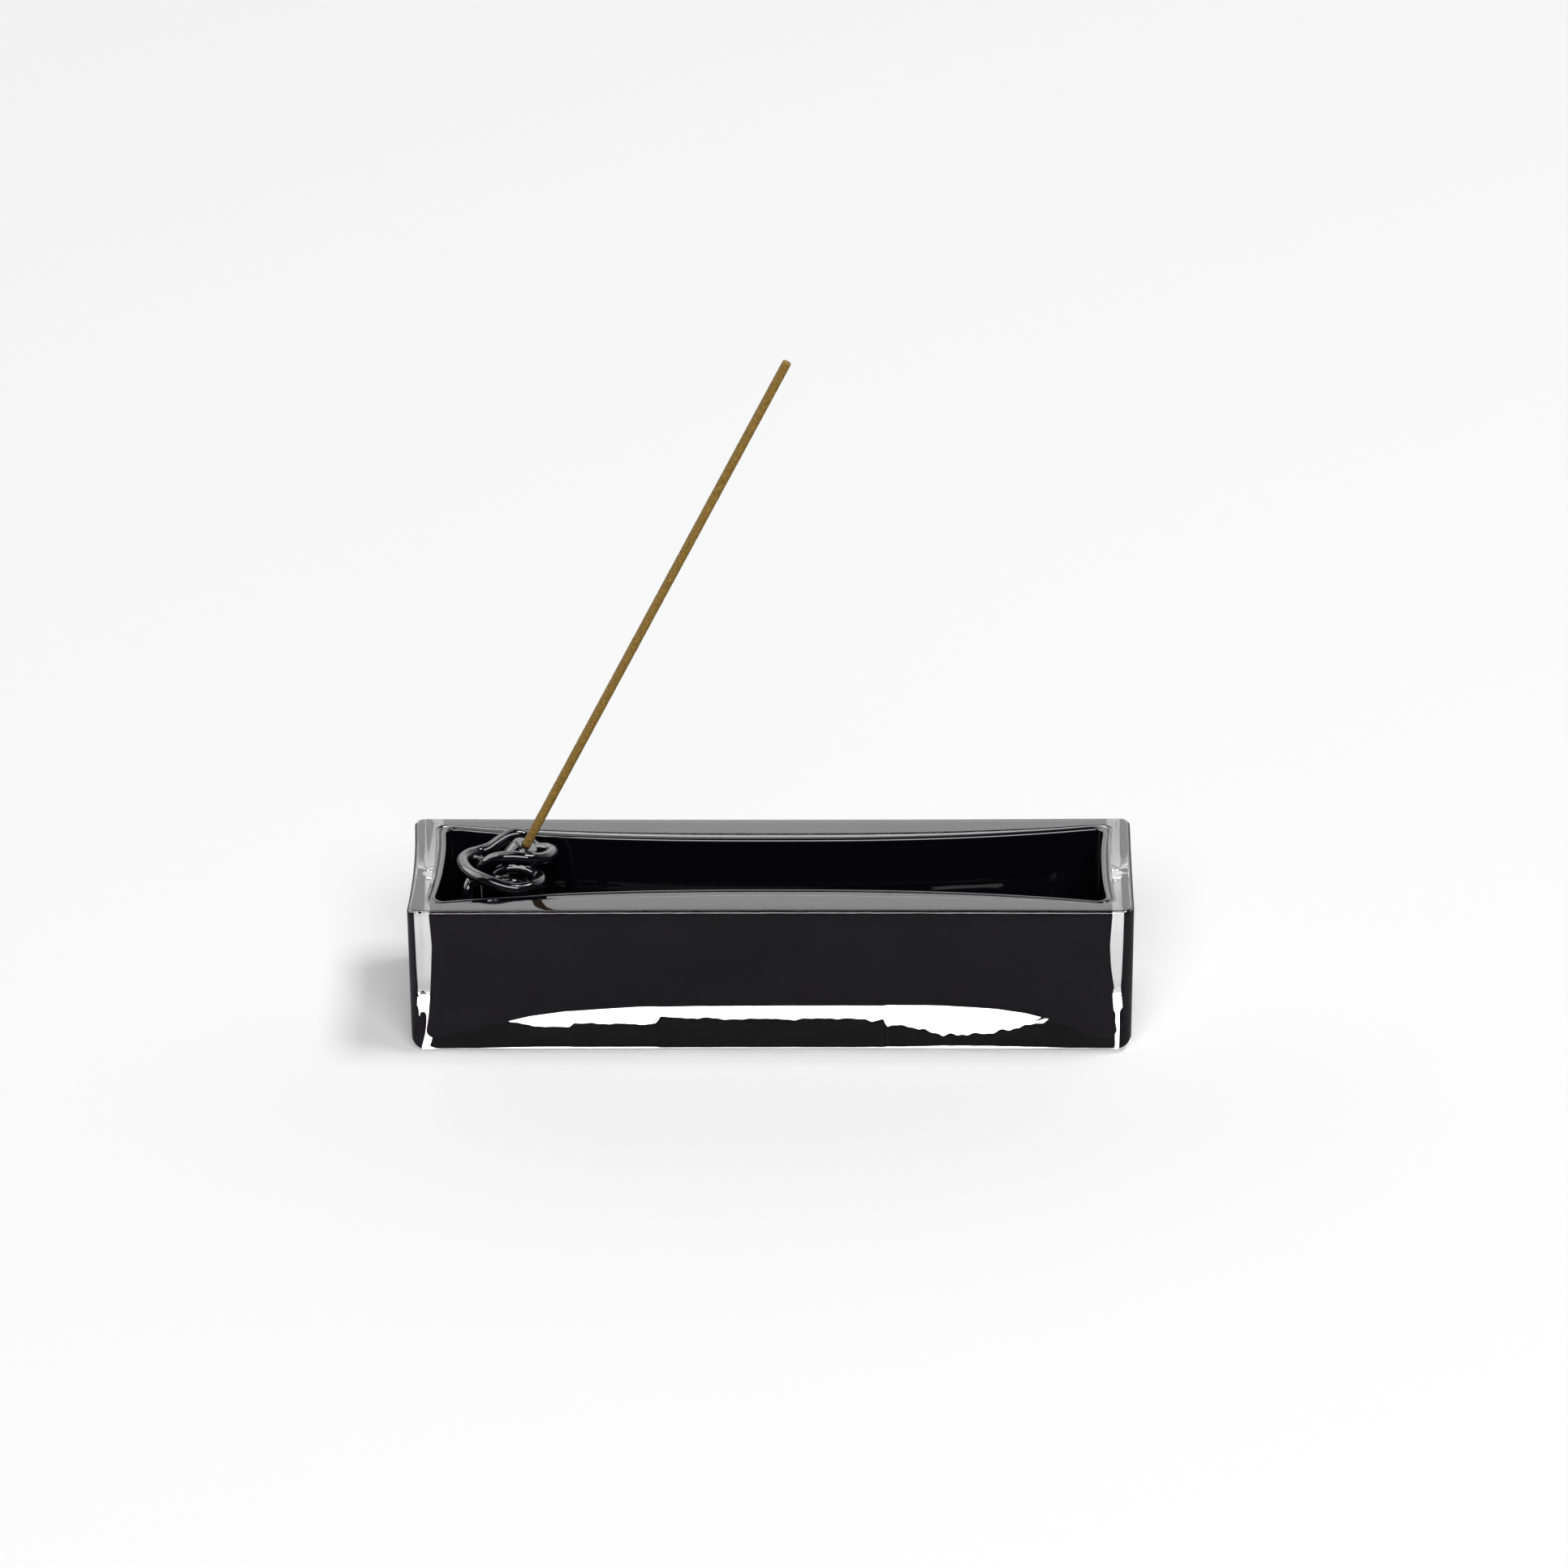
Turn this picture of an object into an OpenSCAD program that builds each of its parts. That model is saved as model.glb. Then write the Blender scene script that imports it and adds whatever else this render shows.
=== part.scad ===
// Incense burner: a cased glass trough, a glass knot that stands in it, and an incense stick.
// X runs along the trough with the knot at the low end, -Y is the front, Z = 0 is the underside.

/* [Trough] */
// Length of the trough, end to end
trough_len = 180; // [170:1:200]
// Depth of the trough, front to back
trough_dep = 48; // [46:0.5:56]
// Height of the trough
trough_ht = 40; // [38:0.5:46]
// Radius of the upright corners
corner_r = 2.5; // [1:0.1:4]
// Radius of the top edges
top_edge_r = 1; // [0.5:0.1:1.5]
// Radius of the bottom edges
base_edge_r = 2; // [1:0.1:3]

/* [Cavity] */
// Wall at each end of the cavity, at its corners
end_wall = 6.6; // [5.5:0.1:8]
// Wall along each side of the cavity, at its corners
side_wall = 5.1; // [4.5:0.1:6]
// How far the long walls bow into the cavity at mid length
side_bow = 6.2; // [3:0.1:7]
// How far the end walls bow into the cavity
end_bow = 1.2; // [0.5:0.1:1.8]
// Height of the cavity's floor at mid length
floor_z = 12; // [11:0.1:14]
// How far the floor falls from mid length to the ends
floor_drop = 6.7; // [4:0.1:7]
// Thickness of the black lining
lining_t = 1.4; // [1:0.1:1.8]

/* [Knot] */
// Distance of the knot from mid length
knot_offset = 65; // [63:0.5:66]
// Diameter of the glass thread
thread_d = 2.8; // [2.2:0.1:2.8]
// Widest radius of the bead that holds the stick
bead_r = 4.4; // [3.6:0.1:4.6]

/* [Stick] */
// Diameter of the incense stick
stick_d = 2.4; // [2:0.1:2.6]
// Whole length of the stick
stick_len = 160; // [100:1:240]
// Lean of the stick from upright, in degrees
stick_lean = 26.2; // [20:0.1:30]
// Depth of the stick in its hole
stick_depth = 12; // [8:0.5:12.5]

/* [Hidden] */
$fn = 96;
// Segments of the wide arcs, whose radius is half a metre
bow_fn = 256;
over = 1;

cavity_len = trough_len - 2 * end_wall;
cavity_dep = trough_dep - 2 * side_wall;
cavity_corner_r = 3;
cavity_heel_r = 5;
side_bow_r = bow_radius(cavity_len, side_bow);
end_bow_r = bow_radius(cavity_dep, end_bow);
floor_bow_r = bow_radius(cavity_len, floor_drop);

// The knot stands on the falling floor, a hair above it
knot_lift = 0.1;
knot_x = -knot_offset;
knot_z = floor_z - (floor_bow_r - sqrt(pow(floor_bow_r, 2) - pow(knot_x, 2))) + knot_lift;

// The stick leaves the bead here, from the knot's own foot, and the hole follows its lean
stick_mouth = [4.5, 0, 37.8];
hole_gap = 0.06;
hole_depth = 13;
bead_len = 15;
bead_top_r = 3.2;
bead_tail_r = 2.6;
bead_belt = [-4, -9];

// Route of the glass thread, from the foot at the left to the end inside, from the knot's own foot
thread_route = [
    [-12.2, -8.6, -0.9], [-12.2, -8.8, 9], [-11.4, -8, 20], [-10.3, -6.6, 27.4],
    [-9.4, -5.2, 29.6], [-8, -4.2, 31.4], [-6.1, -4.4, 34], [-4.1, -5, 36.1],
    [-1.7, -5.6, 37.1], [1.5, -5.8, 37.4], [5, -5.6, 36.9], [7.8, -4.6, 36.2],
    [9.8, -2.8, 35.8], [10.7, 0.2, 35.4], [9.3, 2.8, 34.8], [6.9, 4.6, 33.9],
    [5.2, 6.2, 34.4], [4.2, 7.2, 35.7], [2.2, 7.2, 36.5], [-0.1, 6.6, 36.5],
    [-2.5, 5.6, 35.4], [-4.8, 4.6, 34.1], [-7.4, 3.6, 33.6], [-9.7, 1.8, 33.9],
    [-11.3, -1, 34], [-10.7, -4.8, 34.1], [-8.8, -8.8, 34.4], [-6.3, -11.6, 34.6],
    [-3.3, -13, 34.1], [-0.4, -13.6, 33.3], [2.7, -13.4, 32.7], [5.7, -12.2, 32.6],
    [7.8, -9.8, 32.4], [7.7, -7.2, 32.5], [5.5, -5.8, 33.3], [2.6, -5.5, 34],
    [-0.3, -5.5, 33.8], [-2.6, -5.3, 32.4], [-2.4, -6.6, 30.8], [0.3, -7.7, 31.2],
    [2.9, -7.2, 30.4], [5.1, -5.8, 28.8], [7.6, -4.4, 25.1], [10.1, -2.2, 19.1],
    [12, 2.4, 11.1], [11, 7.8, 4.7], [6, 10.8, 2.7], [-1, 10.6, 1.8],
    [-7, 6.8, 1.2], [-9.2, 0.6, 1], [-7.2, -5.2, 1.1], [-1.8, -8.8, 1.6],
    [4, -9, 2.4], [7.8, -5, 3.2], [5.8, 0.6, 4.2], [0.4, 3.8, 6],
    [-4.8, 4.6, 10.1], [-7.6, 3.4, 18.1], [-8, 1, 26.1], [-7.4, -1, 33.3], [-7.2, -1, 35]
];
thread_sides = 10;
rings_per_span = 4;
tip_reach = 0.8;
tip_share = 0.55;

clear = [0.82, 0.85, 0.86, 0.45];
black = [0.04, 0.04, 0.05];
paste = [0.56, 0.43, 0.17];

// Radius of an arc that rises by rise over a chord
function bow_radius(chord, rise) = (pow(chord / 2, 2) + pow(rise, 2)) / (2 * rise);

// One span of a smooth curve through the points p[i] and p[i + 1], at t from 0 to 1
function at_or_end(p, i) = i < 0 ? 2 * p[0] - p[1]
    : i >= len(p) ? 2 * p[len(p) - 1] - p[len(p) - 2]
    : p[i];
function span_point(a, b, c, d, t) =
    (2 * b + (c - a) * t + (2 * a - 5 * b + 4 * c - d) * t * t + (3 * b - a - 3 * c + d) * t * t * t) / 2;
function smooth_route(p, steps) = concat(
    [for (i = [0:len(p) - 2], k = [0:steps - 1])
        span_point(at_or_end(p, i - 1), p[i], p[i + 1], at_or_end(p, i + 2), k / steps)],
    [p[len(p) - 1]]
);

function unit(v) = v / norm(v);
function square_to(v, along) = unit(v - (v * along) * along);

// Directions along a list of points, and a side direction carried along them without twist
function directions(p) = [for (i = [0:len(p) - 1]) unit(p[min(i + 1, len(p) - 1)] - p[max(i - 1, 0)])];
function carried_sides(dirs) = [
    for (i = 0, side = square_to([1, 0, 0], dirs[0]);
         i < len(dirs);
         i = i + 1, side = square_to(side, dirs[min(i, len(dirs) - 1)]))
        side
];
function ring(centre, dir, side, r, sides) = [
    for (k = [0:sides - 1])
        let (a = 360 * k / sides)
            centre + r * (cos(a) * side + sin(a) * cross(dir, side))
];

// A closed tube of one radius along a list of points, with rounded ends
module swept_tube(route, r, sides, steps) {
    body = smooth_route(route, steps);
    last = len(body) - 1;
    start_dir = unit(body[1] - body[0]);
    end_dir = unit(body[last] - body[last - 1]);
    line = concat([body[0] - tip_reach * start_dir], body, [body[last] + tip_reach * end_dir]);
    dirs = directions(line);
    side_dirs = carried_sides(dirs);
    count = len(line);
    points = [
        for (i = [0:count - 1])
            each ring(line[i], dirs[i], side_dirs[i], i == 0 || i == count - 1 ? tip_share * r : r, sides)
    ];
    walls = [
        for (i = [0:count - 2], k = [0:sides - 1])
            let (n = (k + 1) % sides, a = i * sides, b = a + sides)
                each [[a + k, b + k, a + n], [a + n, b + k, b + n]]
    ];
    start_cap = [for (k = [0:sides - 1]) k];
    end_cap = [for (k = [0:sides - 1]) count * sides - 1 - k];
    polyhedron(points = points, faces = concat([start_cap], walls, [end_cap]), convexity = 10);
}

module rounded_rect(x, y, r) {
    square([x - 2 * r, y], center = true);
    square([x, y - 2 * r], center = true);
    for (sx = [-1, 1], sy = [-1, 1])
        translate([sx * (x / 2 - r), sy * (y / 2 - r)])
            circle(r);
}

// A standing rectangle from z = 0 with its own corner radii at the foot and at the top
module standing_profile(width, ht, foot_r, top_r) {
    translate([-width / 2, foot_r])
        square([width, ht - foot_r - top_r]);
    translate([foot_r - width / 2, 0])
        square([width - 2 * foot_r, ht / 2]);
    translate([top_r - width / 2, ht / 2])
        square([width - 2 * top_r, ht / 2]);
    for (s = [-1, 1]) {
        translate([s * (width / 2 - foot_r), foot_r])
            circle(foot_r);
        translate([s * (width / 2 - top_r), ht - top_r])
            circle(top_r);
    }
}

// The solid block before it is hollowed: its plan, front and end outlines all hold at once
module block() {
    intersection() {
        linear_extrude(trough_ht)
            rounded_rect(trough_len, trough_dep, corner_r);
        rotate([90, 0, 0])
            linear_extrude(trough_dep + 2 * over, center = true)
                standing_profile(trough_len, trough_ht, base_edge_r, top_edge_r);
        rotate([90, 0, 90])
            linear_extrude(trough_len + 2 * over, center = true)
                standing_profile(trough_dep, trough_ht, base_edge_r, top_edge_r);
    }
}

// The cavity's plan, grown outwards by grow: a rectangle whose four walls bow inwards
module cavity_plan(grow) {
    difference() {
        rounded_rect(cavity_len + 2 * grow, cavity_dep + 2 * grow, cavity_corner_r + grow);
        for (s = [-1, 1]) {
            translate([0, s * (cavity_dep / 2 - side_bow + side_bow_r)])
                circle(side_bow_r - grow, $fn = bow_fn);
            translate([s * (cavity_len / 2 - end_bow + end_bow_r), 0])
                circle(end_bow_r - grow, $fn = bow_fn);
        }
    }
}

// The cavity's front outline, grown by grow: the floor falls towards both ends
module cavity_profile(grow) {
    difference() {
        translate([0, floor_z - floor_drop - grow])
            standing_profile(cavity_len + 2 * grow, trough_ht, cavity_heel_r + grow, over);
        translate([0, floor_z - floor_bow_r])
            circle(floor_bow_r - grow, $fn = bow_fn);
    }
}

module hollow(grow) {
    intersection() {
        linear_extrude(trough_ht + over)
            cavity_plan(grow);
        rotate([90, 0, 0])
            linear_extrude(trough_dep + 2 * over, center = true)
                cavity_profile(grow);
    }
}

// The thick clear glass that carries everything, with the pocket that the black glass fills
module clear_casing() {
    color(clear)
        difference() {
            block();
            hollow(lining_t);
        }
}

// The black glass inside, fused to the clear glass and polished level with its rim
module black_lining() {
    color(black)
        intersection() {
            difference() {
                hollow(lining_t);
                hollow(0);
            }
            linear_extrude(trough_ht)
                square([trough_len, trough_dep], center = true);
        }
}

module at_knot() {
    translate([knot_x, 0, knot_z])
        children();
}

// The stick's own axis: Z runs up the stick, with 0 at the mouth of its hole
module at_stick() {
    at_knot()
        translate(stick_mouth)
            rotate([0, stick_lean, 0])
                children();
}

// The bead in the middle of the knot, wound round a mandrel that left the hole for the stick
module knot_bead() {
    color(black)
        at_stick()
            difference() {
                rotate_extrude()
                    polygon([
                        [0, -bead_len], [bead_tail_r, -bead_len], [bead_r, bead_belt[1]],
                        [bead_r, bead_belt[0]], [bead_top_r, 0], [0, 0]
                    ]);
                translate([0, 0, -hole_depth])
                    cylinder(h = hole_depth + over, r = stick_d / 2 + hole_gap);
            }
}

// One length of pulled glass thread, looped round the bead while it was soft
module knot_thread() {
    color(black)
        at_knot()
            swept_tube(thread_route, thread_d / 2, thread_sides, rings_per_span);
}

// A pressed stick of incense paste, loose in the bead's hole
module incense_stick() {
    color(paste)
        at_stick()
            translate([0, 0, -stick_depth])
                cylinder(h = stick_len, r = stick_d / 2);
}

clear_casing();
black_lining();
knot_bead();
knot_thread();
incense_stick();
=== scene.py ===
import math
import bmesh
import bpy
import numpy as np
from mathutils import Matrix, Vector, noise


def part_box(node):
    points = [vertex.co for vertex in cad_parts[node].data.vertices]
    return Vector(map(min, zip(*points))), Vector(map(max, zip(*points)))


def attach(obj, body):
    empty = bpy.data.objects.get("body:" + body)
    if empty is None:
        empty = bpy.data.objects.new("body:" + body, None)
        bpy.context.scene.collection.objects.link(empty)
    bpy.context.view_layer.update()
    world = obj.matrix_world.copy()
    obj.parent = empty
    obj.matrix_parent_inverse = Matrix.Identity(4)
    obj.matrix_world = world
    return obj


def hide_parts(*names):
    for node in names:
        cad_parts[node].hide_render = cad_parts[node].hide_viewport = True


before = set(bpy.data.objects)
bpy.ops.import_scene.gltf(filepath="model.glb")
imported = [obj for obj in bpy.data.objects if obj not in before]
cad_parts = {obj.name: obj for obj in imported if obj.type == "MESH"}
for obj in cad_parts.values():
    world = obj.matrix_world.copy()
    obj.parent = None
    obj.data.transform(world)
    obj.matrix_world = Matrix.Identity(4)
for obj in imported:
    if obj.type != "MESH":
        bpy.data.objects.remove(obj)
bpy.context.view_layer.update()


# ---- Clear casing ----
# The thick clear soda-lime glass outside, gathered over the black cup and pressed in a block mould.
# It is fused to the cup. Its ends keep the mould's draft, and its faces sank a little as they cooled.
# The rim is cut level and fire-polished, so its edges are soft.

MM = 0.001
casing_low, casing_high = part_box("clear_casing")
lining_low, lining_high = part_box("black_lining")
rim_z = casing_high.z
end_shrink, end_draft = 0.4 * MM, 0.25 * MM
block_size = (casing_high.x - casing_low.x - 2 * end_shrink, casing_high.y - casing_low.y)
# How far the front, right, back and left faces sink, then the rounding of the four upright edges.
block_dips = (0.4 * MM, 0.1 * MM, 0.5 * MM, 0.9 * MM)
upright_corners = (3 * MM, 3.4 * MM, 2.6 * MM, 2.6 * MM)
top_edge = 1.1 * MM
# The underside is flat. Near the ends it bows up by a hair's breadth before it rounds into the walls.
base_edge_sides, base_edge_ends = 2.1 * MM, 3 * MM
base_bow_sides, base_bow_ends = 1 * MM, 10 * MM
base_lift_sides, base_lift_ends = 0.01 * MM, 0.34 * MM

lining_wall = 1.4 * MM
cavity_size = (lining_high.x - lining_low.x - 2 * lining_wall, lining_high.y - lining_low.y - 2 * lining_wall)
cavity_dips = (6.3 * MM, 1.3 * MM, 6.2 * MM, 1.3 * MM)
cavity_shape, cavity_pulled = 2.5, 1.5 * MM
cavity_corners = (2.2 * MM,) * 4
pocket_corners = (2.6 * MM,) * 4
pocket_heel = 2 * MM

# The black glass settled unevenly in the mould. Each row is a place along the trough and the height of the
# underside there, at the front and at the back, in mm. It hangs lowest at the back, left of the middle, with
# a fold at each end of that stretch.
SETTLED = [
    (-83, 1.9, 2.0), (-76, 3.2, 3.0), (-68, 5.3, 5.0), (-60, 7.1, 6.6), (-50.6, 8.3, 6.4),
    (-50, 8.3, 5.2), (-33, 9.3, 5.0), (-29, 9.4, 4.2), (-28, 9.4, 2.6), (-20, 9.5, 3.0),
    (28, 9.7, 3.1), (28.7, 9.7, 5.8), (38, 9.7, 6.2), (43, 9.6, 8.6), (56, 9.0, 8.2),
    (63, 8.1, 6.7), (70, 6.4, 5.2), (77, 3.4, 3.2), (83, 2.0, 2.2),
]

# Height and how far the black cup's ends stand out there, in mm: they splay at the foot and are a little
# hollow half-way up.
SPLAY = [(2, 1.9), (5, 1.5), (8, 1.0), (12, 0.65), (18, 0.2), (28, -0.3), (35, 0.1), (38, 0.4), (40, 0)]


def unit(v):
    """A vector of the same direction and length 1."""
    return v / np.linalg.norm(v)


def bowed_plan(size, radii, dips, shape=2.0, pulled=0.0, points=(280, 60, 280, 60), corner_points=12):
    """Anticlockwise plan of a rectangle from its front left corner. The front, right, back and left sides
    sink inwards by dips, a larger shape flattens the sunk stretch, and the back left corner is pulled in."""
    half = np.array(size) / 2
    corners = [half * s for s in ((-1, -1), (1, -1), (1, 1), (-1, 1))]
    corners[3] = corners[3] + (pulled, 0)

    def on_side(k, s):
        along = corners[(k + 1) % 4] - corners[k]
        inward = unit(np.array((-along[1], along[0])))
        return corners[k] + along * s + inward * dips[k] * (1 - abs(2 * s - 1) ** shape)

    plan = []
    for k in range(4):
        back = unit(on_side(k - 1, 0.99) - corners[k])
        ahead = unit(on_side(k, 0.01) - corners[k])
        half_angle = math.acos(back @ ahead) / 2
        reach = radii[k] / math.tan(half_angle)
        next_reach = radii[(k + 1) % 4] / math.tan(half_angle)
        centre = corners[k] + unit(back + ahead) * radii[k] / math.sin(half_angle)
        start, end = corners[k] + back * reach - centre, corners[k] + ahead * reach - centre
        sweep = math.pi - 2 * half_angle
        for t in np.linspace(0, 1, corner_points):
            turned = (math.sin((1 - t) * sweep) * start + math.sin(t * sweep) * end) / math.sin(sweep)
            plan.append(centre + turned)
        length = np.linalg.norm(corners[(k + 1) % 4] - corners[k])
        stops = np.linspace(reach / length, 1 - next_reach / length, points[k] + 2)[1:-1]
        plan += [on_side(k, s) for s in stops]
    return np.array(plan)


def outwards(plan):
    """The outward direction at each point of a plan."""
    along = np.roll(plan, -1, axis=0) - np.roll(plan, 1, axis=0)
    across = np.stack((along[:, 1], -along[:, 0]), axis=1)
    return across / np.linalg.norm(across, axis=1)[:, None]


def grown(plan, distance):
    """A plan moved outwards along its own normals, by one distance or one for each point."""
    return plan + outwards(plan) * np.broadcast_to(distance, len(plan))[:, None]


def towards_spine(plan, distance=None, share=None):
    """A plan moved in towards the line along its middle, by a distance or by a share of the way."""
    reach = plan[:, 0].max() - plan[:, 1].max()
    spine = np.stack((np.clip(plan[:, 0], -reach, reach), np.zeros(len(plan))), axis=1)
    if distance is not None:
        share = (distance / np.linalg.norm(spine - plan, axis=1))[:, None]
    return plan + (spine - plan) * share


def ring(plan, z):
    """A plan stood at one height, or at a height for each point."""
    return np.column_stack((plan, np.broadcast_to(z, len(plan))))


def lofted(name, rings, slot_of_ring=None):
    """A closed mesh through rings of equal count; the first and last ring close on themselves."""
    count = len(rings[0])
    mesh = bpy.data.meshes.new(name)
    faces = [
        (a * count + k, a * count + (k + 1) % count, (a + 1) * count + (k + 1) % count, (a + 1) * count + k)
        for a in range(len(rings) - 1) for k in range(count)
    ]
    mesh.from_pydata(np.concatenate(rings).tolist(), [], faces)
    if slot_of_ring is not None:
        mesh.polygons.foreach_set("material_index", np.repeat(slot_of_ring[:len(rings) - 1], count))
    shell = bmesh.new()
    shell.from_mesh(mesh)
    bmesh.ops.remove_doubles(shell, verts=shell.verts, dist=1e-6)
    bmesh.ops.recalc_face_normals(shell, faces=shell.faces)
    for face in shell.faces:
        face.smooth = True
    shell.to_mesh(mesh)
    shell.free()
    piece = bpy.data.objects.new(name, mesh)
    bpy.context.scene.collection.objects.link(piece)
    return piece


def cup_underside(plan):
    """Height of the black glass's underside over each point of a plan."""
    x = plan[:, 0] / MM
    stations, front, back = (np.array(column, dtype=float) for column in zip(*SETTLED))
    fold_slant, narrow_folds, wide_folds = 0.5, 2.2, 7
    right_fold, coarser = 28, 1.8
    slanted = x + fold_slant * plan[:, 1] / MM
    ragged = [0.45 * noise.noise(Vector((v / narrow_folds, 3, 7)))
              + 0.6 * noise.noise(Vector((v / wide_folds, 5, 1))) for v in slanted]
    ragged = np.array(ragged) * np.where(slanted > right_fold, coarser, 1)
    share = np.clip(plan[:, 1] / cavity_size[1] + 0.5, 0, 1)
    share = share * share * (3 - 2 * share)
    front_height = np.interp(x, stations, front)
    back_height = np.interp(x, stations, back) + ragged
    return (front_height + (back_height - front_height) * share) * MM


def splayed(plan, height):
    """The plan of the black cup's outside at one height, or at a height for each point."""
    heights, reaches = zip(*SPLAY)
    splay = np.interp(np.broadcast_to(height, len(plan)) / MM, heights, reaches) * MM
    return grown(plan, splay * np.clip(outwards(plan)[:, 0] ** 2, 0, 1))


def quarter(steps=8):
    """Angles of a quarter round, from 0 to 90 degrees."""
    return np.linspace(0, math.pi / 2, steps)


block_plan = bowed_plan(block_size, upright_corners, block_dips)
cavity_plan = bowed_plan(cavity_size, cavity_corners, cavity_dips, cavity_shape, cavity_pulled)
pocket_size = (cavity_size[0] + 2 * lining_wall, cavity_size[1] + 2 * lining_wall)
pocket_plan = bowed_plan(pocket_size, pocket_corners, cavity_dips, cavity_shape, cavity_pulled)

endness = outwards(block_plan)[:, 0] ** 2
base_edge = base_edge_sides + (base_edge_ends - base_edge_sides) * endness
base_bow = base_bow_sides + (base_bow_ends - base_bow_sides) * endness
base_lift = base_lift_sides + (base_lift_ends - base_lift_sides) * endness
foot_plan = grown(block_plan, -end_draft * endness)
flat_plan = grown(foot_plan, -base_edge - base_bow)
casing_rings = [ring(towards_spine(flat_plan, share=s), 0) for s in (1, 0.75, 0.5, 0.25)]
casing_rings += [
    ring(grown(foot_plan, -base_edge - base_bow * (1 - s)), base_lift * s * s)
    for s in np.linspace(0, 1, 9)[:-1]
]
casing_rings += [
    ring(grown(foot_plan, -base_edge * (1 - math.sin(a))), base_lift + base_edge * (1 - math.cos(a)))
    for a in quarter(14)
]
wall_foot = base_lift + base_edge
casing_rings += [
    ring(foot_plan + (block_plan - foot_plan) * s, wall_foot + (rim_z - top_edge - wall_foot) * s)
    for s in np.linspace(0, 1, 14)[1:-1]
]
casing_rings += [
    ring(grown(block_plan, -top_edge * (1 - math.cos(a))), rim_z - top_edge * (1 - math.sin(a)))
    for a in quarter()
]
rim_outer = grown(block_plan, -top_edge)
casing_rings += [ring(rim_outer + (pocket_plan - rim_outer) * s, rim_z) for s in (0.25, 0.5, 0.75, 1)]
pocket_floor = cup_underside(pocket_plan)
for s in np.linspace(0, 1, 16)[1:-1]:
    height = rim_z + (pocket_floor + pocket_heel - rim_z) * s
    casing_rings.append(ring(splayed(pocket_plan, height), height))
pocket_foot = splayed(pocket_plan, pocket_floor + pocket_heel)
for a in quarter(10):
    plan = towards_spine(pocket_foot, distance=pocket_heel * (1 - math.cos(a)))
    casing_rings.append(ring(plan, cup_underside(plan) + pocket_heel * (1 - math.sin(a))))
pocket_inner = towards_spine(pocket_foot, distance=pocket_heel)
for s in np.linspace(0, 1, 8)[1:]:
    plan = towards_spine(pocket_inner, share=s)
    casing_rings.append(ring(plan, cup_underside(plan)))

casing = lofted("clear_glass_casing", casing_rings)


def colour(code):
    """An sRGB hex colour as the linear RGBA that the shaders work in."""
    parts = [int(code[i:i + 2], 16) / 255 for i in (1, 3, 5)]
    return [p / 12.92 if p <= 0.04045 else ((p + 0.055) / 1.055) ** 2.4 for p in parts] + [1.0]


def add_node(tree, kind, sockets=None, **settings):
    """Adds a node with its settings; each socket gets a value or a link from another node's output."""
    node = tree.nodes.new(kind)
    for name, value in settings.items():
        setattr(node, name, value)
    for socket, value in (sockets or {}).items():
        if isinstance(value, bpy.types.NodeSocket):
            tree.links.new(value, node.inputs[socket])
        else:
            node.inputs[socket].default_value = value
    return node


def new_material(name):
    """A material with an empty tree but for its output."""
    material = bpy.data.materials.new(name)
    material.use_nodes = True
    material.node_tree.nodes.clear()
    return material, material.node_tree, material.node_tree.nodes.new("ShaderNodeOutputMaterial")


def fire_polished_clear_glass():
    # Soda-lime glass, IOR 1.5, melted smooth by the flame: no grain, only slow ripples about 9 mm apart.
    # The eye gets wavy edges on what it sees through the glass.
    material, tree, output = new_material("fire_polished_clear_glass")
    place = add_node(tree, "ShaderNodeTexCoord")
    ripples = add_node(tree, "ShaderNodeTexNoise",
                       {"Vector": place.outputs["Object"], "Scale": 1 / (9 * MM), "Detail": 1.0})
    bump = add_node(tree, "ShaderNodeBump",
                    {"Height": ripples.outputs["Fac"], "Strength": 0.05, "Distance": 0.1 * MM})
    glass = add_node(tree, "ShaderNodeBsdfPrincipled", {
        "Base Color": colour("#ffffff"), "Roughness": 0.0, "IOR": 1.5,
        "Transmission Weight": 1.0, "Normal": bump.outputs["Normal"]})
    tree.links.new(glass.outputs["BSDF"], output.inputs["Surface"])
    return material


casing.data.materials.append(fire_polished_clear_glass())
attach(casing, "trough")
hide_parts("clear_casing")


# ---- Black lining ----
# The cup of opaque black glass that the clear glass was gathered over. It catches the ash.
# Its inner edge melted round at the rim, and its outer side is fused to the casing.

inner_edge_front, inner_edge_back = 0.3 * MM, 1.1 * MM
cavity_heel = 4.5 * MM
fused_overlap = 0.04 * MM
bond_plan = grown(pocket_plan, fused_overlap)
bond_heel = pocket_heel + fused_overlap
cup_floor_z = 11.95 * MM
cup_floor_drop = 6.7 * MM
cup_floor_power = 2.4


def cup_floor(plan):
    """Height of the cup's floor over each point of a plan: level in the middle and falling to both ends."""
    half = cavity_size[0] / 2
    along = np.minimum(np.abs(plan[:, 0]) / half, 1.02)
    return cup_floor_z - cup_floor_drop * along ** cup_floor_power


lining_rings = []
cavity_inner = towards_spine(cavity_plan, distance=cavity_heel)
for s in (1, 0.75, 0.5, 0.25):
    plan = towards_spine(cavity_inner, share=s)
    lining_rings.append(ring(plan, cup_floor(plan)))
for a in quarter(10)[::-1]:
    plan = towards_spine(cavity_plan, distance=cavity_heel * (1 - math.cos(a)))
    lining_rings.append(ring(plan, cup_floor(plan) + cavity_heel * (1 - math.sin(a))))
cavity_floor = cup_floor(cavity_plan)
backness = np.clip(outwards(cavity_plan)[:, 1], 0, 1) ** 2
inner_edge = inner_edge_front + (inner_edge_back - inner_edge_front) * backness
lining_rings += [
    ring(cavity_plan, cavity_floor + cavity_heel + (rim_z - inner_edge - cavity_floor - cavity_heel) * s)
    for s in np.linspace(0, 1, 10)[1:-1]
]
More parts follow.
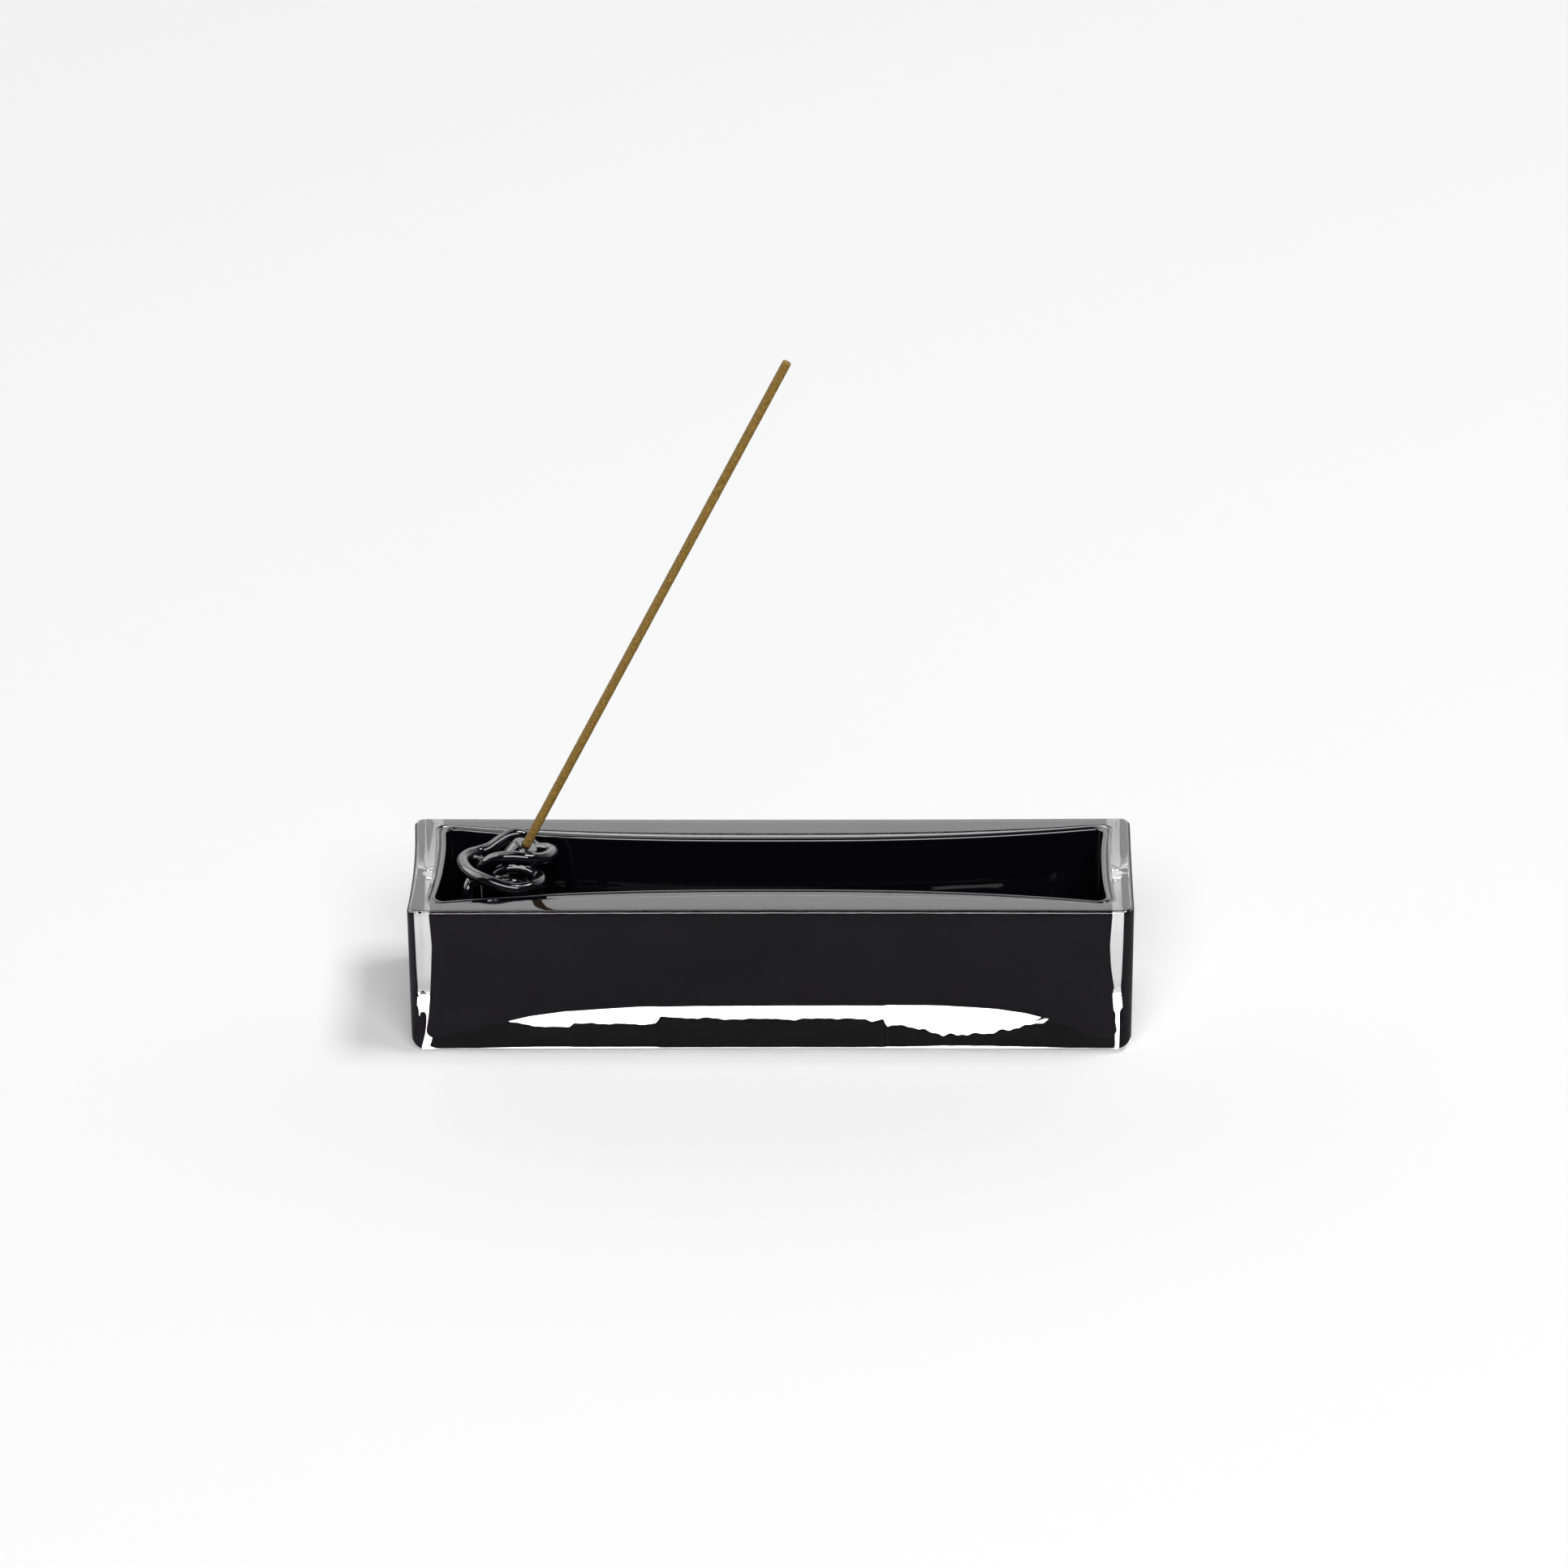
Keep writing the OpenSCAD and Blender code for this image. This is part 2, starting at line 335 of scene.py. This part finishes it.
lining_rings += [
    ring(grown(cavity_plan, inner_edge * (1 - math.cos(a))), rim_z - inner_edge * (1 - math.sin(a)))
    for a in quarter(10)
]
lining_rings.append(ring(bond_plan, rim_z))
glossy_rings = len(lining_rings)
bond_floor = cup_underside(bond_plan) - fused_overlap
for s in np.linspace(0, 1, 16)[1:-1]:
    height = rim_z + (bond_floor + bond_heel - rim_z) * s
    lining_rings.append(ring(splayed(bond_plan, height), height))
bond_foot = splayed(bond_plan, bond_floor + bond_heel)
for a in quarter(10):
    plan = towards_spine(bond_foot, distance=bond_heel * (1 - math.cos(a)))
    lining_rings.append(ring(plan, cup_underside(plan) - fused_overlap + bond_heel * (1 - math.sin(a))))
bond_inner = towards_spine(bond_foot, distance=bond_heel)
for s in np.linspace(0, 1, 8)[1:]:
    plan = towards_spine(bond_inner, share=s)
    lining_rings.append(ring(plan, cup_underside(plan) - fused_overlap))

slot_of_ring = [0] * (glossy_rings - 1) + [1] * (len(lining_rings) - glossy_rings + 1)
lining = lofted("black_glass_lining", lining_rings, slot_of_ring)


def glossy_black_glass():
    # Opaque black glass, IOR 1.5, formed hot: mirror-smooth, with a cool purple cast from manganese.
    # Faint haze and slow ripples break the reflections up.
    material, tree, output = new_material("glossy_black_glass")
    place = add_node(tree, "ShaderNodeTexCoord")
    haze = add_node(tree, "ShaderNodeTexNoise",
                    {"Vector": place.outputs["Object"], "Scale": 1 / (14 * MM), "Detail": 4.0})
    roughness = add_node(tree, "ShaderNodeMapRange",
                         {"Value": haze.outputs["Fac"], "From Min": 0.45, "From Max": 0.75,
                          "To Min": 0.02, "To Max": 0.09})
    ripples = add_node(tree, "ShaderNodeTexNoise",
                       {"Vector": place.outputs["Object"], "Scale": 1 / (7 * MM), "Detail": 2.0})
    bump = add_node(tree, "ShaderNodeBump",
                    {"Height": ripples.outputs["Fac"], "Strength": 0.2, "Distance": 0.1 * MM})
    glass = add_node(tree, "ShaderNodeBsdfPrincipled", {
        "Base Color": colour("#08070a"), "IOR": 1.5,
        "Roughness": roughness.outputs["Result"], "Normal": bump.outputs["Normal"]})
    tree.links.new(glass.outputs["BSDF"], output.inputs["Surface"])
    return material


def fused_black_glass():
    # The same black glass where it is fused to the clear: there is no air between them, so no gloss.
    # Slow clouds of purple show where the black thins.
    material, tree, output = new_material("fused_black_glass")
    place = add_node(tree, "ShaderNodeTexCoord")
    clouds = add_node(tree, "ShaderNodeTexNoise",
                      {"Vector": place.outputs["Object"], "Scale": 1 / (30 * MM), "Detail": 3.0})
    cast = add_node(tree, "ShaderNodeMix",
                    {"Factor": clouds.outputs["Fac"], "A": colour("#0a080b"), "B": colour("#17131a")},
                    data_type="RGBA")
    glass = add_node(tree, "ShaderNodeBsdfPrincipled", {
        "Base Color": cast.outputs["Result"], "IOR": 1.0, "Specular IOR Level": 0.0, "Roughness": 1.0})
    tree.links.new(glass.outputs["BSDF"], output.inputs["Surface"])
    return material


black_glass = glossy_black_glass()
lining.data.materials.append(black_glass)
lining.data.materials.append(fused_black_glass())
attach(lining, "trough")
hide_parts("black_lining")


# ---- Glass knot ----
# A bead of black glass wound on a steel mandrel, which leaves the hole for the stick, and one pulled
# thread of the same glass looped round it while soft. The thread melts into the bead and into itself.

thread_radius = 1.6 * MM
stick_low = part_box("incense_stick")[0]
stick_radius = 1.2 * MM
stick_lean = math.radians(26.2)
stick_depth = 12 * MM
stick_axis = Vector((math.sin(stick_lean), 0, math.cos(stick_lean)))
stick_foot = Vector((stick_low.x + stick_radius * math.cos(stick_lean), 0,
                     stick_low.z + stick_radius * math.sin(stick_lean)))
hole_mouth = stick_foot + stick_axis * stick_depth
knot_foot = hole_mouth - Vector((4.5, 0, 37.8)) * MM

# The thread's route in mm from the knot's own foot, from the leg at the left to the end inside.
THREAD_ROUTE = [
    (-12.2, -8.6, -0.9), (-12.2, -8.8, 9), (-11.4, -8, 20), (-10.3, -6.6, 27.4), (-9.4, -5.2, 29.6),
    (-8, -4.2, 31.4), (-6.1, -4.4, 34), (-4.1, -5, 36.1), (-1.7, -5.6, 37.1), (1.5, -5.8, 37.4),
    (5, -5.6, 36.9), (7.8, -4.6, 36.2), (9.8, -2.8, 35.8), (10.7, 0.2, 35.4), (9.3, 2.8, 34.8),
    (6.9, 4.6, 33.9), (5.2, 6.2, 34.4), (4.2, 7.2, 35.7), (2.2, 7.2, 36.5), (-0.1, 6.6, 36.5),
    (-2.5, 5.6, 35.4), (-4.8, 4.6, 34.1), (-7.4, 3.6, 33.6), (-9.7, 1.8, 33.9), (-11.3, -1, 34),
    (-10.7, -4.8, 34.1), (-8.8, -8.8, 34.4), (-6.3, -11.6, 34.6), (-3.3, -13, 34.1), (-0.4, -13.6, 33.3),
    (2.7, -13.4, 32.7), (5.7, -12.2, 32.6), (7.8, -9.8, 32.4), (7.7, -7.2, 32.5), (5.5, -5.8, 33.3),
    (2.6, -5.5, 34), (-0.3, -5.5, 33.8), (-2.6, -5.3, 32.4), (-2.4, -6.6, 30.8), (0.3, -7.7, 31.2),
    (2.9, -7.2, 30.4), (5.1, -5.8, 28.8), (7.6, -4.4, 25.1), (10.1, -2.2, 19.1), (12, 2.4, 11.1),
    (11, 7.8, 4.7), (6, 10.8, 2.7), (-1, 10.6, 1.8), (-7, 6.8, 1.2), (-9.2, 0.6, 1),
    (-7.2, -5.2, 1.1), (-1.8, -8.8, 1.6), (4, -9, 2.4), (7.8, -5, 3.2), (5.8, 0.6, 4.2), (0.4, 3.8, 6),
    (-4.8, 4.6, 10.1), (-7.6, 3.4, 18.1), (-8, 1, 26.1), (-7.4, -1, 33.3), (-7.2, -1, 35),
]


def new_tree(name, sizes):
    """A Geometry Nodes tree with a geometry input, named sizes and a geometry output."""
    tree = bpy.data.node_groups.new(name, "GeometryNodeTree")
    tree.interface.new_socket("Geometry", in_out="INPUT", socket_type="NodeSocketGeometry")
    for label, kind in sizes.items():
        tree.interface.new_socket(label, in_out="INPUT", socket_type=kind)
    tree.interface.new_socket("Geometry", in_out="OUTPUT", socket_type="NodeSocketGeometry")
    return tree, tree.nodes.new("NodeGroupInput").outputs, tree.nodes.new("NodeGroupOutput").inputs


def grown_by_tree(name, seed_mesh, tree, values):
    """A plain mesh piece from a mesh that the tree was run over, with its inputs set to values."""
    seed = bpy.data.objects.new(name + "_seed", seed_mesh)
    bpy.context.scene.collection.objects.link(seed)
    modifier = seed.modifiers.new("grow", "NODES")
    modifier.node_group = tree
    for item in tree.interface.items_tree:
        if item.name in values and item.in_out == "INPUT":
            modifier[item.identifier] = values[item.name]
    evaluated = seed.evaluated_get(bpy.context.evaluated_depsgraph_get())
    mesh = bpy.data.meshes.new_from_object(evaluated)
    bpy.data.objects.remove(seed)
    piece = bpy.data.objects.new(name, mesh)
    bpy.context.scene.collection.objects.link(piece)
    return piece


def pulled_thread_tree():
    """Sweeps a round thread of uneven thickness along the edges of its input."""
    tree, sizes, result = new_tree("pulled_thread", {
        "Radius": "NodeSocketFloat", "Unevenness": "NodeSocketFloat", "Wave": "NodeSocketFloat",
        "Step": "NodeSocketFloat", "Glass": "NodeSocketMaterial"})
    route = add_node(tree, "GeometryNodeMeshToCurve", {"Mesh": sizes["Geometry"]})
    route = add_node(tree, "GeometryNodeCurveSplineType", {"Curve": route.outputs["Curve"]},
                     spline_type="CATMULL_ROM")
    route = add_node(tree, "GeometryNodeSetSplineResolution",
                     {"Geometry": route.outputs["Curve"], "Resolution": 16})
    route = add_node(tree, "GeometryNodeResampleCurve",
                     {"Curve": route.outputs["Geometry"], "Length": sizes["Step"]}, mode="LENGTH")
    place = add_node(tree, "GeometryNodeInputPosition")
    lumps = add_node(tree, "ShaderNodeTexNoise",
                     {"Vector": place.outputs["Position"], "Scale": sizes["Wave"], "Detail": 1.0})
    thickness = add_node(tree, "ShaderNodeMath",
                         {0: lumps.outputs["Fac"], 1: sizes["Unevenness"], 2: 1.0}, operation="MULTIPLY_ADD")
    route = add_node(tree, "GeometryNodeSetCurveRadius",
                     {"Curve": route.outputs["Curve"], "Radius": thickness.outputs["Value"]})
    section = add_node(tree, "GeometryNodeCurvePrimitiveCircle",
                       {"Resolution": 24, "Radius": sizes["Radius"]})
    thread = add_node(tree, "GeometryNodeCurveToMesh", {
        "Curve": route.outputs["Curve"], "Profile Curve": section.outputs["Curve"], "Fill Caps": True})
    whole = add_node(tree, "GeometryNodeRealizeInstances", {"Geometry": thread.outputs["Mesh"]})
    finish = add_node(tree, "GeometryNodeSetMaterial",
                      {"Geometry": whole.outputs["Geometry"], "Material": sizes["Glass"]})
    tree.links.new(finish.outputs["Geometry"], result["Geometry"])
    return tree


def turned_mesh(name, profile, foot, axis, sides=48):
    """A closed mesh turned about an axis from (radius, height) pairs, both ends closed on the axis."""
    turn = axis.to_track_quat("Z", "Y").to_matrix().to_4x4()
    angles = np.linspace(0, 2 * math.pi, sides, endpoint=False)
    rings = [np.column_stack((r * np.cos(angles), r * np.sin(angles), np.full(sides, h))) for r, h in profile]
    piece = lofted(name, rings)
    piece.data.transform(Matrix.Translation(foot) @ turn)
    return piece


route_mesh = bpy.data.meshes.new("thread_route")
route_mesh.from_pydata([knot_foot + Vector(p) * MM for p in THREAD_ROUTE],
                       [(i, i + 1) for i in range(len(THREAD_ROUTE) - 1)], [])
knot = grown_by_tree("black_glass_knot", route_mesh, pulled_thread_tree(), {
    "Radius": thread_radius, "Unevenness": 0.35, "Wave": 1 / (11 * MM), "Step": 0.5 * MM,
    "Glass": black_glass})

# The bead: a drop of glass that narrows towards the mouth and the tail, pinched flat at the mouth.
bead_profile = [
    (0, -15), (1.6, -14.9), (2.6, -14), (3.9, -11), (4.4, -8.5), (4.5, -6),
    (4.2, -3.6), (3.7, -1.6), (3.3, -0.5), (2.9, -0.1), (0, 0),
]
bead = turned_mesh("bead", [(r * MM, h * MM) for r, h in bead_profile], hole_mouth, stick_axis)

joined = bmesh.new()
joined.from_mesh(knot.data)
joined.from_mesh(bead.data)
joined.to_mesh(knot.data)
joined.free()
bpy.data.objects.remove(bead)

hole_radius, hole_end, drill_top = 1.28 * MM, -13 * MM, 40 * MM
hole = turned_mesh("hole", [(0, hole_end), (hole_radius, hole_end), (hole_radius, drill_top), (0, drill_top)],
                   hole_mouth, stick_axis)
melt = knot.modifiers.new("melt", "REMESH")
melt.mode = "VOXEL"
melt.voxel_size = 0.25 * MM
soften = knot.modifiers.new("soften", "SMOOTH")
soften.factor = 0.6
soften.iterations = 8
drill = knot.modifiers.new("drill", "BOOLEAN")
drill.object = hole
drill.solver = "EXACT"
knot_mesh = bpy.data.meshes.new_from_object(knot.evaluated_get(bpy.context.evaluated_depsgraph_get()))
knot.modifiers.clear()
knot.data = knot_mesh
bpy.data.objects.remove(hole)
knot_mesh.materials.clear()
knot_mesh.materials.append(black_glass)
for face in knot_mesh.polygons:
    face.material_index = 0
    face.use_smooth = True
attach(knot, "knot")
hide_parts("knot_bead", "knot_thread")


# ---- Incense stick ----
# Bamboo-free incense: a paste of wood powder, makko bark and resin, pressed through a die and dried.
# It is loose in the bead's hole, and its top is a snapped end.

stick_length = 160 * MM
stick_rings = 640
stick_sides = 28


def pressed_stick_tree():
    """Sinks a smooth stick's skin along its normals, by the depth of the paste's grains."""
    tree, sizes, result = new_tree("pressed_stick", {
        "Grain": "NodeSocketFloat", "Depth": "NodeSocketFloat", "Paste": "NodeSocketMaterial"})
    place = add_node(tree, "GeometryNodeInputPosition")
    normal = add_node(tree, "GeometryNodeInputNormal")
    grains = add_node(tree, "ShaderNodeTexNoise",
                      {"Vector": place.outputs["Position"], "Scale": sizes["Grain"], "Detail": 3.0})
    sunk = add_node(tree, "ShaderNodeMath", {0: grains.outputs["Fac"], 1: sizes["Depth"]},
                    operation="MULTIPLY")
    inwards = add_node(tree, "ShaderNodeVectorMath",
                       {0: normal.outputs["Normal"], "Scale": sunk.outputs["Value"]}, operation="SCALE")
    rough = add_node(tree, "GeometryNodeSetPosition",
                     {"Geometry": sizes["Geometry"], "Offset": inwards.outputs["Vector"]})
    whole = add_node(tree, "GeometryNodeRealizeInstances", {"Geometry": rough.outputs["Geometry"]})
    finish = add_node(tree, "GeometryNodeSetMaterial",
                      {"Geometry": whole.outputs["Geometry"], "Material": sizes["Paste"]})
    tree.links.new(finish.outputs["Geometry"], result["Geometry"])
    return tree


def pressed_incense_paste():
    # Sandalwood powder and bark bound with resin, pressed and dried: matt, with grains of about 0.3 mm.
    # Golden brown with darker bark specks and a few pale resin grains.
    material, tree, output = new_material("pressed_incense_paste")
    place = add_node(tree, "ShaderNodeTexCoord")
    grains = add_node(tree, "ShaderNodeTexNoise",
                      {"Vector": place.outputs["Object"], "Scale": 1 / (0.32 * MM), "Detail": 2.0,
                       "Roughness": 0.6})
    tone = add_node(tree, "ShaderNodeValToRGB", {"Fac": grains.outputs["Fac"]})
    steps = tone.color_ramp.elements
    steps[0].position, steps[0].color = 0.33, colour("#523d0d")
    steps[1].position, steps[1].color = 0.68, colour("#9a7b35")
    middle_step = steps.new(0.5)
    middle_step.color = colour("#785b1b")
    bump = add_node(tree, "ShaderNodeBump",
                    {"Height": grains.outputs["Fac"], "Strength": 0.7, "Distance": 0.12 * MM})
    paste = add_node(tree, "ShaderNodeBsdfPrincipled", {
        "Base Color": tone.outputs["Color"], "Roughness": 0.85, "IOR": 1.45,
        "Normal": bump.outputs["Normal"]})
    tree.links.new(paste.outputs["BSDF"], output.inputs["Surface"])
    return material


foot_taper, foot_reach = 0.16 * MM, 0.5 * MM
tip_taper, tip_reach = 0.06 * MM, 0.4 * MM
angles = np.linspace(0, 2 * math.pi, stick_sides, endpoint=False)
stick_rows = []
for h in np.linspace(0, stick_length, stick_rings):
    taper = foot_taper * math.exp(-h / foot_reach) + tip_taper * math.exp(-(stick_length - h) / tip_reach)
    r = stick_radius - taper
    stick_rows.append(np.column_stack((r * np.cos(angles), r * np.sin(angles), np.full(stick_sides, h))))
foot_row, tip_row = stick_rows[0], stick_rows[-1]
stick_rows = [foot_row * (share, share, 1) for share in (0, 0.6)] + stick_rows
stick_rows += [tip_row * (share, share, 1) for share in (0.7, 0.4, 0)]
smooth_stick = lofted("smooth_stick", stick_rows)
stick_turn = stick_axis.to_track_quat("Z", "Y").to_matrix().to_4x4()
smooth_stick.data.transform(Matrix.Translation(stick_foot) @ stick_turn)
stick = grown_by_tree("pressed_incense_stick", smooth_stick.data, pressed_stick_tree(), {
    "Grain": 1 / (0.7 * MM), "Depth": -0.16 * MM, "Paste": pressed_incense_paste()})
bpy.data.objects.remove(smooth_stick)
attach(stick, "stick")
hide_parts("incense_stick")


# ---- Studio ----
# A pale paper sweep, softboxes in front, at the right, above and at the left, and air that is bright low down
# behind the object and dark elsewhere, for the glass to reflect.

def softbox(name, place, aim, size, radiance, lights_paper=True):
    """A flat soft light that shows in reflections but not to the camera."""
    lamp = bpy.data.lights.new(name, "AREA")
    lamp.shape = "RECTANGLE"
    lamp.size, lamp.size_y = size
    lamp.energy = radiance * math.pi * size[0] * size[1]
    light = bpy.data.objects.new(name, lamp)
    light.location = place
    light.rotation_euler = (Vector(aim) - Vector(place)).to_track_quat("-Z", "Y").to_euler()
    light.visible_camera = False
    light.visible_diffuse = lights_paper
    bpy.context.scene.collection.objects.link(light)
    return light


middle = (0, 0, 0.03)
softbox("front_softbox", (0.3, -6.3, 6.0), middle, (6.9, 3.6), 9.3)
softbox("right_softbox", (2.4, -0.1, 5.4), middle, (2.2, 1.4), 19.8)
softbox("overhead_softbox", (-1.0, 0.5, 2.6), middle, (2.4, 1.8), 3.0, lights_paper=False)
softbox("left_softbox", (-3.2, 0.6, 2.2), middle, (4.0, 3.4), 4.0, lights_paper=False)

mesh = bpy.data.meshes.new("paper_sweep")
reach = 6.0
below = -0.2 * MM
corners = [(-reach, -reach, below), (reach, -reach, below), (reach, reach, below), (-reach, reach, below)]
mesh.from_pydata(corners, [], [(0, 1, 2, 3)])
floor = bpy.data.objects.new("paper_sweep", mesh)
bpy.context.scene.collection.objects.link(floor)


def pale_paper_painted_dark_in_gloss():
    # Matt white paper, #e0e0e0 to the camera and to diffuse light. Painted shade: glossy rays that are not
    # transmission rays see it mid grey (#808080), so its reflections in the glass are painted darker.
    material, tree, output = new_material("pale_paper_painted_dark_in_gloss")
    path = add_node(tree, "ShaderNodeLightPath")
    # Painted shade: 1 where a glossy ray that is not a transmission ray meets the paper, which then shows mid
    # grey.
    painted_gloss_shade = add_node(tree, "ShaderNodeMath",
                        {0: path.outputs["Is Glossy Ray"], 1: path.outputs["Is Transmission Ray"]},
                        operation="SUBTRACT", use_clamp=True)
    shade = add_node(tree, "ShaderNodeMix",
                     {"Factor": painted_gloss_shade.outputs["Value"], "A": colour("#e0e0e0"), "B": colour("#808080")},
                     data_type="RGBA")
    paper = add_node(tree, "ShaderNodeBsdfDiffuse", {"Color": shade.outputs["Result"]})
    tree.links.new(paper.outputs["BSDF"], output.inputs["Surface"])
    return material


floor.data.materials.append(pale_paper_painted_dark_in_gloss())

world = bpy.data.worlds.new("studio_air")
world.use_nodes = True
bpy.context.scene.world = world
world.node_tree.nodes.clear()
world_output = world.node_tree.nodes.new("ShaderNodeOutputWorld")
path = add_node(world.node_tree, "ShaderNodeLightPath")
seen_along = add_node(world.node_tree, "ShaderNodeTexCoord")
heading = add_node(world.node_tree, "ShaderNodeSeparateXYZ", {"Vector": seen_along.outputs["Generated"]})
lit_sweep = add_node(world.node_tree, "ShaderNodeValToRGB", {"Fac": heading.outputs["Z"]})
lit_sweep.color_ramp.interpolation = "EASE"
stops = lit_sweep.color_ramp.elements
stops[0].position, stops[0].color = 0.14, (0.35, 0.35, 0.35, 1)
stops[1].position, stops[1].color = 0.85, (0.02, 0.02, 0.02, 1)
for place, share in ((0.25, 1.0), (0.56, 1.0)):
    stop = stops.new(place)
    stop.color = (share, share, share, 1)
behind = add_node(world.node_tree, "ShaderNodeMapRange",
                  {"Value": heading.outputs["Y"], "From Min": -0.2, "From Max": 0.5,
                   "To Min": 0.05, "To Max": 2.7})
dusk = add_node(world.node_tree, "ShaderNodeMix",
                {"Factor": 1.0, "A": lit_sweep.outputs["Color"], "B": behind.outputs["Result"]},
                data_type="RGBA", blend_type="MULTIPLY")
shown_in_glass = add_node(world.node_tree, "ShaderNodeMix",
                          {"Factor": path.outputs["Is Diffuse Ray"], "A": dusk.outputs["Result"],
                           "B": (0.05, 0.05, 0.05, 1)}, data_type="RGBA")
air = add_node(world.node_tree, "ShaderNodeMix",
               {"Factor": path.outputs["Is Camera Ray"], "A": shown_in_glass.outputs["Result"],
                "B": (0.93, 0.93, 0.93, 1)},
               data_type="RGBA")
light = add_node(world.node_tree, "ShaderNodeBackground", {"Color": air.outputs["Result"], "Strength": 1.0})
world.node_tree.links.new(light.outputs["Background"], world_output.inputs["Surface"])

bpy.context.scene.view_settings.view_transform = "Standard"


# ---- Camera ----
# A long lens above the trough, pitched down, turned slightly to the left and tipped by under half a degree.

camera_pitch = math.radians(90 - 29.0)
camera_turn = math.radians(0.7365)
camera_roll = math.radians(-0.4)
camera = bpy.data.objects.new("camera", bpy.data.cameras.new("camera"))
bpy.context.scene.collection.objects.link(camera)
bpy.context.scene.camera = camera
camera.data.sensor_width = 36
camera.data.lens = 196.3
camera.data.clip_end = 30
camera.location = (27.1 * MM, -1845.2 * MM, 1085.7 * MM)
aim = Matrix.Rotation(camera_turn, 3, "Z") @ Matrix.Rotation(camera_pitch, 3, "X")
camera.rotation_euler = (aim @ Matrix.Rotation(camera_roll, 3, "Z")).to_euler()

bpy.context.view_layer.update()
